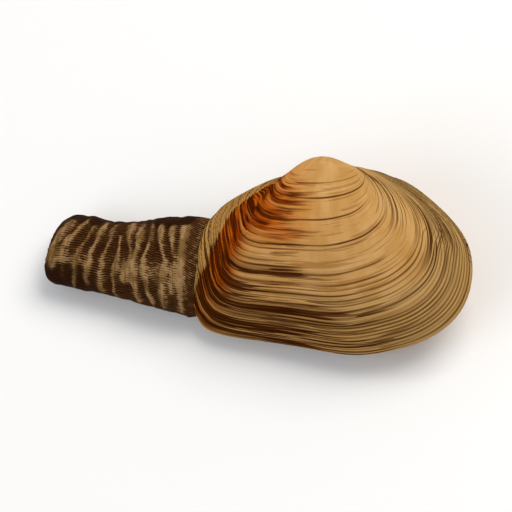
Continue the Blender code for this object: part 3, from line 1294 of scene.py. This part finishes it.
    def layers(self, age: Grid, turn: Grid, ink: Grid) -> dict[str, Grid]:
        """Say where each colour lies, and where the finishes read their noise.

        Args:
            age: Age of each line, one row each.
            turn: Place round the ring.
            ink: Darkness of the lines.

        Returns:
            The layers that the outer and inner finishes read.
        """
        law_age = self.law_ages(age, turn)
        blotch = Drift(self.seed + 3, 15, 9).over(law_age, turn)
        at = Places(turn, law_age, self.drawn_ages(law_age, turn), blotch)
        across = self.noise_reach * np.cos(TURN * turn), self.noise_reach * np.sin(TURN * turn)
        growth = np.stack(np.broadcast_arrays(*across, self.span * at.drawn), axis=-1)
        return {"growth": growth + self.noise_shift * self.seed, **self.markings.layers(at, ink)}

    def build(self) -> Skin:
        """Build the valve from the beak over the outside to the lip and in to the cavity.

        Returns:
            The valve's skin, in its place.
        """
        age = self.ring_ages()[:, None]
        turn = np.arange(self.sides)[None] / self.sides
        outside = self.law.surface(self.side, self.law_ages(age, turn), 0.0, self.sides)
        height, ink = self.relief(age, turn)
        outside = outside + outward(outside) * height[..., None]
        lip_ages, lip_insets = np.array(self.lip).T[..., None]
        inwards = np.linspace(1.0, 0.0, self.inner_rings)[:, None]
        inner_ages = self.cavity_age + (self.edge_age - self.cavity_age) * inwards
        inside_ages = np.vstack([lip_ages, inner_ages])
        insets = np.vstack([lip_insets, np.full_like(inner_ages, self.wall)])
        rings = np.concatenate([outside, self.law.surface(self.side, inside_ages, insets, self.sides)])
        rings[..., 2] = self.side.value * np.maximum(self.side.value * rings[..., 2], self.law.nearest)
        bare = np.zeros((len(inside_ages), self.sides))
        layers = self.layers(np.vstack([age, inside_ages]), turn, np.vstack([ink, bare]))
        return Skin(self.node + "_shell", self.repose.place(self.repose.lay(rings)), layers, len(age) + 1)

    def dress(self, finishes: Sequence[bpy.types.Material]) -> bpy.types.Object:
        """Make the valve in its finishes.

        Args:
            finishes: The outer finish and the inner one.

        Returns:
            The piece.
        """
        piece = self.build().make(finishes, flip=self.side is Side.LEFT)
        settle_piece(piece, self.node)
        return piece


# ---------------------------------------------------------------- the siphon


@dataclass(frozen=True)
class Fold:
    """A fold across the siphon, by how far behind the beaks its crest lies at four heights.

    Attributes:
        top: Near the hinge side.
        upper: Half way from there to the middle.
        low: A little above the middle.
        foot: Near the free side.
        width: Half width of its crest.
        start: Height at which it starts, from 1 at the hinge side to -1 at the free side.
        end: Height at which it ends.
    """

    top: float
    upper: float
    low: float
    foot: float
    width: float
    start: float = 0.92
    end: float = -0.95

    def crest(self, height: Grid) -> Grid:
        """Find how far behind the beaks the crest is at each height."""
        return np.interp(-height, (-0.9, -0.5, -0.1, 0.8), (self.top, self.upper, self.low, self.foot))

    def shown(self, height: Grid) -> Grid:
        """Find where the fold runs: it fades out past its start and its end."""
        started = rise(-height, -self.start - 0.06, -self.start + 0.10)
        return started * fall(-height, -self.end - 0.12, -self.end + 0.10)


@dataclass(frozen=True)
class Sheath:
    """Where the points of the siphon are.

    Attributes:
        behind: Distance behind the beaks, one row each.
        angle: Angle round the siphon, one column each, 0 at its hinge side.
        high: From -1 at the free side to 1 at the hinge side, as the shell is turned.
        spread: Distances behind the beaks between which the slow variations are spread.
    """

    behind: Grid
    angle: Grid
    high: Grid
    spread: tuple[float, float] = (20.0, 80.0)

    def vary(self, seed: int, around: int, lengthways: int) -> Grid:
        """Read a slow variation that has so many changes round the siphon and along it."""
        first, last = self.spread
        return Drift(seed, around, lengthways).over((self.behind - first) / (last - first), self.angle / TURN)


@dataclass
class Siphon:
    """The wrinkled sheath that comes out between the valves, in millimetres until it is placed.

    Attributes:
        repose: How the clam lies.
        node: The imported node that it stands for.
        stations: Distance behind the beaks, middle height, half height and half thickness.
        gape_x: Where it leaves the shell's gape.
        lens_until: Where its section has changed from the gape's lens to a full oval.
        rests_from: Where it rests on the table.
        press: How far its underside is pressed flat there.
        twist: How far its hinge side turns up there, in radians.
        free: Where the folds begin, outside the gape.
        tip_rounding: Radius of the tip's rim.
        tip_dish: Depth to which the tip is dished.
        openings: Height and half height of each of the tip's openings, by the tip's own half height.
        opening_depth: How deep they are.
        tip_slant: How much nearer to the shell the hinge side of the tip is, by height.
        slant_from: Where it starts to lean.
        rings: Rings along the straight part.
        tip_rings: Rings round the rim.
        disc_rings: Rings over the tip.
        sides: Points round each ring.
        folds: The folds of the free part, from the shell to the tip.
        fold_depth: Depth from their crests to the furrows.
        inner_fold: How far up a fold the plain skin inside the gape counts.
        noise_reach: Radius of the round on which the finish reads its noise.
    """

    repose: Repose
    node: str = "siphon"
    stations: tuple[tuple[float, float, float, float], ...] = (
        (20.0, -25.3, 9.6, 4.6), (31.0, -25.3, 12.1, 6.4), (37.0, -25.0, 13.0, 8.0), (45.0, -23.8, 12.0, 8.4),
        (53.0, -23.2, 10.6, 7.8), (61.0, -22.1, 9.7, 7.3), (67.0, -20.8, 9.8, 7.1), (71.5, -20.2, 9.4, 6.9),
    )
    gape_x: float = 31.0
    lens_until: float = 40.0
    rests_from: float = 58.0
    press: float = 0.5
    twist: float = 0.27
    free: tuple[float, float] = (33.0, 38.0)
    tip_rounding: float = 4.5
    tip_dish: float = 1.0
    openings: tuple[tuple[float, float], ...] = ((0.46, 0.36), (-0.48, 0.40))
    opening_depth: float = 2.6
    tip_slant: float = math.tan(math.radians(11.0))
    slant_from: float = 56.0
    rings: int = 250
    tip_rings: int = 26
    disc_rings: int = 22
    sides: int = 260
    folds: tuple[Fold, ...] = (
        Fold(37.7, 37.4, 37.2, 37.9, 0.95, 0.84),
        Fold(41.0, 40.2, 38.9, 40.4, 0.75, 0.84, -0.60),
        Fold(43.9, 43.3, 41.8, 43.2, 0.90, 0.86),
        Fold(46.9, 46.6, 47.8, 46.2, 0.80, 0.99),
        Fold(50.4, 49.9, 50.8, 49.6, 0.95, 0.99),
        Fold(53.3, 52.7, 51.7, 53.4, 0.85, 0.99, -0.55),
        Fold(55.4, 55.2, 55.6, 56.6, 0.70, 0.65),
        Fold(57.9, 58.1, 59.9, 60.2, 1.15, 0.97),
        Fold(61.1, 62.0, 63.6, 63.6, 0.95, 0.97, -0.85),
        Fold(63.7, 65.1, 66.8, 66.9, 0.65, 0.82),
        Fold(67.0, 69.2, 71.2, 70.0, 1.00, 0.99, -0.80),
        Fold(70.6, 72.9, 74.3, 73.2, 1.45, 0.97, -0.60),
    )
    fold_depth: float = 0.85
    inner_fold: float = 0.38
    noise_reach: float = 9.0

    def body(self) -> tuple[Grid, Sheath]:
        """Lay out the smooth siphon.

        Returns:
            Laid-down points, and where they are.
        """
        table = np.array(self.stations)
        curl = np.linspace(0.0, math.pi / 2, self.tip_rings + 1)[1:]
        straight = np.linspace(table[0, 0], table[-1, 0], self.rings)
        behind = np.concatenate([straight, table[-1, 0] + self.tip_rounding * np.sin(curl)])
        less = np.concatenate([np.zeros(self.rings), self.tip_rounding * (1.0 - np.cos(curl))])
        angle = np.linspace(0.0, TURN, self.sides, endpoint=False)[None]
        middle, half_height, half_thick = (np.interp(behind, table[:, 0], table[:, k]) for k in (1, 2, 3))
        half_height -= less
        half_thick -= less
        lens = fall(behind, self.gape_x, self.lens_until)[:, None]
        flat = np.sin(angle)
        pointed = np.sign(flat) * np.cos(math.pi / 2 * np.cos(angle))
        high = half_height[:, None] * np.cos(angle)
        thick = half_thick[:, None] * (pointed * lens + flat * (1.0 - lens))
        centre = self.repose.lay(np.column_stack([-behind, middle, np.zeros_like(behind)]))
        rests = rise(behind, self.gape_x, self.rests_from)
        floor = self.repose.table + half_thick + less - self.press
        centre[:, 2] += rests * (floor - centre[:, 2])
        roll = (self.repose.roll * (1.0 - rests))[:, None]
        slant = (self.tip_slant * rise(behind, self.slant_from, table[-1, 0]))[:, None]
        points = np.stack([
            centre[:, :1] + slant * high,
            centre[:, 1:2] + high * np.cos(roll) - thick * np.sin(roll),
            centre[:, 2:] + high * np.sin(roll) + thick * np.cos(roll),
        ], axis=-1)
        high = np.cos(angle - self.twist * rests[:, None])
        return points, Sheath(behind[:, None], angle, high)

    def folding(self, at: Sheath) -> Grid:
        """Say how far up a fold each place lies.

        Args:
            at: Where the points are.

        Returns:
            0 in a furrow to 1 on a crest.
        """
        place = at.behind + 0.45 * at.vary(71, 12, 12) + 0.32 * at.vary(72, 31, 24)
        swell = 1.0 + 0.45 * at.vary(73, 23, 18)
        crests = np.zeros(place.shape)
        for number, fold in enumerate(self.folds):
            away = np.abs(place - fold.crest(at.high)) / (fold.width * swell)
            uneven = 0.80 + 0.35 * Drift(600 + number, 16, 1).round_ring(at.angle / TURN)
            shown = np.clip(fold.shown(at.high) * uneven, 0.0, 1.0)
            crests = np.maximum(crests, np.exp(-(0.84 * away) ** 1.8) * shown)
        merged = np.exp(-((at.high + 0.20) / 0.30) ** 2) * rise(at.vary(80, 9, 14), -0.5, 0.7)
        return np.clip(crests + 0.50 * merged * (1.0 - crests), 0.0, 1.0)

    def relief(self, at: Sheath, fold: Grid) -> Grid:
        """Raise the folds and the fine wrinkles over them.

        Args:
            at: Where the points are.
            fold: How far up a fold each place lies.

        Returns:
            Height over the smooth siphon, in millimetres.
        """
        free = rise(at.behind, *self.free)
        rounded = 1.0 - 0.6 * rise(np.abs(at.high), 0.70, 0.95)
        strength = self.fold_depth * free * rounded * (0.85 + 0.3 * at.vary(74, 9, 12))
        fine = 0.16 * at.vary(75, 40, 60) + 0.09 * at.vary(76, 90, 24)
        return strength * fall(at.behind, 73.0, 75.8) * (fold - 0.60) + fine * (0.25 + 0.75 * free)

    def shade(self, at: Sheath, fold: Grid) -> Grid:
        """Find where shade is painted on the skin: along the hinge side, and on the free side by the tip.

        Args:
            at: Where the points are.
            fold: How far up a fold each place lies.

        Returns:
            From 0 for plain skin up to 0.92.
        """
        ragged = 0.10 * at.vary(77, 26, 30) + 0.06 * at.vary(78, 9, 14)
        broad = 0.22 * rise(at.behind, 35.5, 37.5) * fall(at.behind, 45.0, 49.0)
        broad = broad + 0.05 * rise(at.vary(79, 3, 12), 0.1, 0.7)
        tongued = at.high + 1.3 * ragged + 0.20 * (0.35 - fold) * rise(at.high, 0.0, 0.6)
        # painted shade along the hinge side, reaching down the furrows in tongues
        by_hinge = 0.85 * rise(tongued, 0.91 - broad, 0.99 - broad) * rise(at.behind, 34.5, 36.5)
        low = at.high + 1.6 * ragged - 0.34 * (1.0 - fold)
        # painted shade low on the free side near the tip
        by_tip = 0.95 * rise(at.behind + 20.0 * ragged, 57.0, 65.0) * fall(low, -0.72, -0.36)
        by_tip = by_tip * (np.sin(at.angle) > -0.4)
        return np.clip(np.maximum(by_hinge, by_tip), 0.0, 0.92)

    def build(self) -> Skin:
        """Build the siphon from inside the shell to the middle of its tip.

        Returns:
            The siphon's skin, in its place.
        """
        points, at = self.body()
        fold = self.folding(at)
        free = rise(at.behind, *self.free)
        points = points + outward(points) * self.relief(at, fold)[..., None]
        disc, disc_layers = self.disc(points[-1])

        step = np.linalg.norm(points - np.roll(points, 1, axis=1), axis=2)
        way = np.cumsum(step, axis=1)
        across = self.noise_reach * np.cos(at.angle), self.noise_reach * np.sin(at.angle)
        layers = {
            "reach": np.stack(np.broadcast_arrays(at.behind, *across), axis=-1),
            "girth": np.minimum(way, way[:, -1:] - way),
            "fold": fold * free + (1.0 - free) * self.inner_fold,
            "shade": self.shade(at, fold),
        }
        ends = {name: np.repeat(values[-1:], len(disc), axis=0) for name, values in layers.items()}
        ends.update(disc_layers)
        layers = {name: np.concatenate([values, ends[name]]) for name, values in layers.items()}
        return Skin("siphon_sheath", self.repose.place(np.concatenate([points, disc])), layers)

    def disc(self, rim: Grid) -> tuple[Grid, dict[str, Grid]]:
        """Close the tip with a dished disc that has the two openings.

        Args:
            rim: The last ring before it.

        Returns:
            Rings from the rim to the middle, and their layers, with painted shade darkest in the openings.
        """
        middle = rim.mean(axis=0)
        share = np.linspace(1.0, 0.03, self.disc_rings + 1)[1:, None, None]
        rings = middle + (rim - middle) * share
        across = rings - middle
        up, out = across[..., 1], across[..., 2]
        tall = np.abs(rim[:, 1] - middle[1]).max()
        pits = np.zeros(up.shape)
        for height, half in self.openings:
            away = np.hypot(up - height * tall, 1.25 * out) / (half * tall)
            pits = np.maximum(pits, fall(away, 0.45, 1.0))
        rings[..., 0] += self.tip_dish * (1.0 - share[..., 0] ** 2) + self.opening_depth * pits
        reach = np.stack(np.broadcast_arrays(78.0 - 4.0 * share[..., 0], up, out), axis=-1)
        # painted shade over the dished tip, darkest down in the two openings
        return rings, {"reach": reach, "shade": 0.25 + 0.72 * pits}

    def dress(self, finish: bpy.types.Material) -> bpy.types.Object:
        """Make the siphon in its finish.

        Args:
            finish: The skin's material.

        Returns:
            The piece.
        """
        piece = self.build().make([finish], flip=True)
        settle_piece(piece, self.node)
        return piece


# ---------------------------------------------------------------- the ligament


@dataclass
class Ligament:
    """The low horny pad in the groove behind the beaks, in millimetres until it is placed.

    Attributes:
        repose: How the clam lies.
        node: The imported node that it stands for.
        centre: Its middle.
        half: Half its length, height and thickness.
        slope: How steeply it rises towards the front, in radians.
        fibres: How many radians of ribbing lie along half its length.
        rings: Rings along it.
        sides: Points round each ring.
    """

    repose: Repose
    node: str = "ligament"
    centre: tuple[float, float, float] = (-5.2, -0.95, 0.0)
    half: tuple[float, float, float] = (3.6, 0.6, 0.55)
    slope: float = math.radians(3.0)
    fibres: float = 46.0
    rings: int = 70
    sides: int = 40

    def build(self) -> Skin:
        """Build the pad as a spindle with fine fibres across it.

        Returns:
            The pad's skin, in its place.
        """
        along = -np.cos(np.linspace(0.03, math.pi - 0.03, self.rings))[:, None]
        angle = np.linspace(0.0, TURN, self.sides, endpoint=False)[None]
        uneven = Drift(91, 5, 6).over((along + 1) / 2, angle / TURN)
        ribbed = 1.0 - 0.05 * (0.5 + 0.5 * np.cos(along * self.fibres + uneven))
        girth = np.sqrt(1.0 - along**2)
        x, y, z = np.broadcast_arrays(
            self.half[0] * along,
            self.half[1] * girth * ribbed * np.cos(angle),
            self.half[2] * girth * ribbed * np.sin(angle))
        points = np.stack([
            x * math.cos(self.slope) - y * math.sin(self.slope),
            x * math.sin(self.slope) + y * math.cos(self.slope),
            z,
        ], axis=-1) + np.array(self.centre)
        reach = np.stack([x, y, z], axis=-1)
        return Skin("ligament_pad", self.repose.place(self.repose.lay(points)), {"reach": reach})

    def dress(self, finish: bpy.types.Material) -> bpy.types.Object:
        """Make the pad in its finish.

        Args:
            finish: The horn's material.

        Returns:
            The piece.
        """
        piece = self.build().make([finish], flip=False)
        settle_piece(piece, self.node)
        return piece


# ---------------------------------------------------------------- the studio


@dataclass(frozen=True)
class Softbox:
    """A soft square light that faces the clam.

    Attributes:
        name: The light's name.
        place: Where it hangs, in metres.
        size: Its side, in metres.
        power: Its power, in watts.
        colour: Its colour.
    """

    name: str
    place: tuple[float, float, float]
    size: float
    power: float
    colour: Colour

    def hang(self) -> None:
        """Hang the light, out of the camera's sight."""
        data = bpy.data.lights.new(self.name, "AREA")
        data.size = self.size
        data.energy = self.power
        data.color = self.colour
        lamp = bpy.data.objects.new(self.name, data)
        lamp.location = self.place
        lamp.rotation_mode = "QUATERNION"
        lamp.rotation_quaternion = Vector(self.place).to_track_quat("Z", "Y")
        lamp.visible_camera = False
        bpy.context.scene.collection.objects.link(lamp)


@dataclass
class Studio:
    """A pale floor, soft light and a camera over the clam's left side.

    Attributes:
        repose: How the clam lies.
        swing: How far the camera stands round to the clam's front, off square to the seam.
        dip: How far it stands to the hinge side.
        width: What the camera's frame spans at the clam, in metres.
        distance: How far the camera is, in metres.
        sensor: Width of the camera's sensor, in millimetres.
        floor_half: Half the floor's side, in metres.
        sky: Colour of the light from all round.
        sky_strength: Its strength.
        lamps: The softboxes.
    """

    repose: Repose
    swing: float = math.radians(23.7)
    dip: float = math.radians(-0.7)
    width: float = 0.1298
    distance: float = 2.0
    sensor: float = 36.0
    floor_half: float = 4.0
    sky: Colour = (0.98, 0.98, 1.0)
    sky_strength: float = 0.44
    lamps: tuple[Softbox, ...] = (
        Softbox("key", (0.55, 0.45, 0.95), 0.7, 10.0, (1.0, 0.97, 0.92)),
        Softbox("fill", (-0.7, -0.6, 0.7), 0.9, 4.0, (0.92, 0.96, 1.0)),
    )

    def axes(self) -> tuple[Vector, Vector, Vector]:
        """Find the camera's directions.

        Returns:
            Its right, up and backward directions.
        """
        back = self.repose.direction((math.sin(self.swing) * math.cos(self.dip), math.sin(self.dip),
                                      math.cos(self.swing) * math.cos(self.dip)))
        right = self.repose.direction((math.cos(self.swing), 0.0, -math.sin(self.swing)))
        return right, back.cross(right), back

    def set_camera(self, pieces: Iterable[bpy.types.Object]) -> None:
        """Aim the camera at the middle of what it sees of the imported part.

        Args:
            pieces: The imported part's nodes.
        """
        right, up, back = self.axes()
        points = np.array([vert.co for piece in pieces for vert in piece.data.vertices])
        middle = Vector((0.0, 0.0, 0.0))
        for axis in (right, up, back):
            reach = points @ np.array(axis)
            middle += axis * float(reach.min() + reach.max()) / 2
        data = bpy.data.cameras.new("camera")
        data.sensor_width = self.sensor
        data.lens = self.sensor * self.distance / self.width
        data.clip_end = 10.0 * self.distance
        camera = bpy.data.objects.new("camera", data)
        turned = Matrix((right, up, back)).transposed().to_4x4()
        camera.matrix_world = Matrix.Translation(middle + back * self.distance) @ turned
        bpy.context.scene.collection.objects.link(camera)
        bpy.context.scene.camera = camera

    def set_up(self, floor_finish: bpy.types.Material) -> None:
        """Lay the floor and hang the lights.

        Args:
            floor_finish: The floor's material.
        """
        half = self.floor_half
        floor_corners = [(-half, -half, 0.0), (half, -half, 0.0), (half, half, 0.0), (-half, half, 0.0)]
        mesh = bpy.data.meshes.new("floor")
        mesh.from_pydata(floor_corners, [], [(0, 1, 2, 3)])
        mesh.materials.append(floor_finish)
        floor = bpy.data.objects.new("floor", mesh)
        bpy.context.scene.collection.objects.link(floor)
        world = bpy.data.worlds.new("studio")
        world.use_nodes = True
        background = world.node_tree.nodes["Background"]
        background.inputs["Color"].default_value = (*self.sky, 1.0)
        background.inputs["Strength"].default_value = self.sky_strength
        bpy.context.scene.world = world
        bpy.context.scene.view_settings.view_transform = "Standard"
        for lamp in self.lamps:
            lamp.hang()


# ---------------------------------------------------------------- putting it together


def corners(box: tuple[Vector, Vector]) -> list[list[float]]:
    """Write a box's two corners as plain lists."""
    return [list(corner) for corner in box]


def main() -> None:
    """Build the studio and every piece of the clam, and log the table's height and each piece's faces."""
    logging.basicConfig(level=logging.INFO, format="%(name)s: %(message)s")
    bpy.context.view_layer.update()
    law = GrowthLaw()
    repose = Repose()
    repose.settle(law, "left_valve")
    LOG.info("the clam is laid down with its table at %.2f mm", repose.table)

    studio = Studio(repose)
    studio.set_camera(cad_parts.values())
    studio.set_up(FloorFinish().mix())
    LOG.info("the studio has its floor, lights and camera")

    shell_finishes = (OuterFinish().mix(), InnerFinish().mix())
    Valve(Side.LEFT, law, repose, "left_valve", seed=3).dress(shell_finishes)
    Valve(Side.RIGHT, law, repose, "right_valve", seed=12).dress(shell_finishes)
    Ligament(repose).dress(HornFinish().mix())
    Siphon(repose).dress(SkinFinish().mix())


if __name__ == "__main__":
    main()
